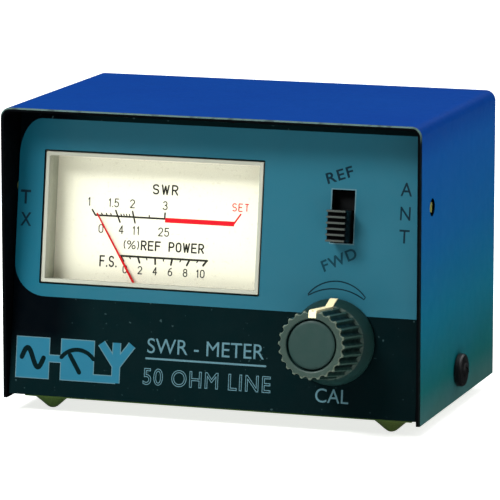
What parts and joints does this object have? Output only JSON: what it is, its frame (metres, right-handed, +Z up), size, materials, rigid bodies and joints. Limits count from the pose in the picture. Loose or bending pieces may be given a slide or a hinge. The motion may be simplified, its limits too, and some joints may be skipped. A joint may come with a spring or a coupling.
{
  "type": "swr meter",
  "caption": "Small bench SWR meter: folded steel cover over a leaned-back front panel with moving-coil meter, slide switch and calibration knob; coaxial sockets at the back.",
  "frame": {"origin": "middle of the outline seen from above, on the surface that the four feet stand on", "axes": "+X to the right seen from the front, +Y from the front panel to the sockets at the back, +Z up"},
  "size_m": [0.1104, 0.0938, 0.0745],
  "materials": {
    "blue_paint": "smooth satin enamel on steel",
    "yellow_passivate": "yellow passivated zinc plate on steel",
    "panel_print": "blue and black screen print on aluminium, satin",
    "black_oxide": "black oxide steel, semi-gloss",
    "ivory_plastic": "moulded ivory plastic",
    "clear_plastic": "clear moulded plastic, polished",
    "black_plastic": "black moulded plastic",
    "dial_white": "matt cream enamel on aluminium, printed",
    "needle_red": "red enamel on aluminium",
    "copper": "bare copper",
    "bright_steel": "bright plated steel",
    "magnet_alloy": "ground magnet alloy",
    "brass": "bare brass",
    "phenolic": "brown phenolic laminate",
    "nickel": "bright nickel plate",
    "knob_plastic": "dark grey-green moulded plastic with a cream pointer line",
    "white_insulator": "white fluoropolymer",
    "diode_glass": "tinted glass with tinned leads",
    "resistor_body": "lacquered carbon film with tinned leads",
    "wire_red": "red insulation",
    "wire_black": "black insulation",
    "wire_white": "white insulation"
  },
  "bodies": {
    "case": {"cover": "blue_paint", "chassis": "yellow_passivate", "front_panel": "panel_print", "cover_screw_left": "black_oxide", "cover_screw_right": "black_oxide", "meter_bezel": "ivory_plastic", "meter_window": "clear_plastic", "meter_case": "black_plastic", "dial_plate": "dial_white", "core_magnet": "magnet_alloy", "yoke_ring": "bright_steel", "front_bridge": "brass", "rear_bridge": "brass", "front_hairspring": "copper", "rear_hairspring": "copper", "meter_terminal_left": "brass", "meter_terminal_right": "brass", "switch_frame": "bright_steel", "switch_base": "phenolic", "switch_terminal_1": "brass", "switch_terminal_2": "brass", "switch_terminal_3": "brass", "switch_rivet_upper": "bright_steel", "switch_rivet_lower": "bright_steel", "cal_pot_body": "bright_steel", "cal_pot_washer": "bright_steel", "cal_pot_nut": "nickel", "cal_pot_lugs": "phenolic", "coupler_board": "phenolic", "through_line": "copper", "pickup_line_forward": "copper", "pickup_line_reflected": "copper", "diode_forward": "diode_glass", "diode_reflected": "diode_glass", "resistor_forward": "resistor_body", "resistor_reflected": "resistor_body", "wire_forward": "wire_red", "wire_reflected": "wire_white", "wire_wiper": "wire_white", "wire_meter": "wire_red", "wire_ground": "wire_black", "tx_socket_shell": "nickel", "tx_socket_insulator": "white_insulator", "tx_socket_contact": "brass", "tx_socket_screw_1": "bright_steel", "tx_socket_screw_2": "bright_steel", "antenna_socket_shell": "nickel", "antenna_socket_insulator": "white_insulator", "antenna_socket_contact": "brass", "antenna_socket_screw_1": "bright_steel", "antenna_socket_screw_2": "bright_steel"},
    "needle_assembly": {"needle": "needle_red", "moving_coil": "copper", "front_pivot": "bright_steel", "rear_pivot": "bright_steel"},
    "cal_control": {"cal_knob": "knob_plastic", "knob_cap": "knob_plastic", "cal_pot_shaft": "bright_steel"},
    "slider": {"switch_slider": "black_plastic"}
  },
  "joints": [
    {"name": "needle_swing", "type": "hinge", "parent": "case", "child": "needle_assembly", "pos_m": [-0.0163, -0.02777, 0.0228], "axis": [0, 0.989, -0.1478], "range_deg": [0, 68], "stiffness_Nm_per_rad": 0.00002, "springref_deg": -20.05},
    {"name": "cal_turn", "type": "hinge", "parent": "case", "child": "cal_control", "pos_m": [0.0303, -0.02792, 0.02181], "axis": [0, -0.989, 0.1478], "range_deg": [-150, 150]},
    {"name": "switch_slide", "type": "slide", "parent": "case", "child": "slider", "axis": [0, 0.1478, 0.989], "range_m": [0, 0.0043]}
  ]
}
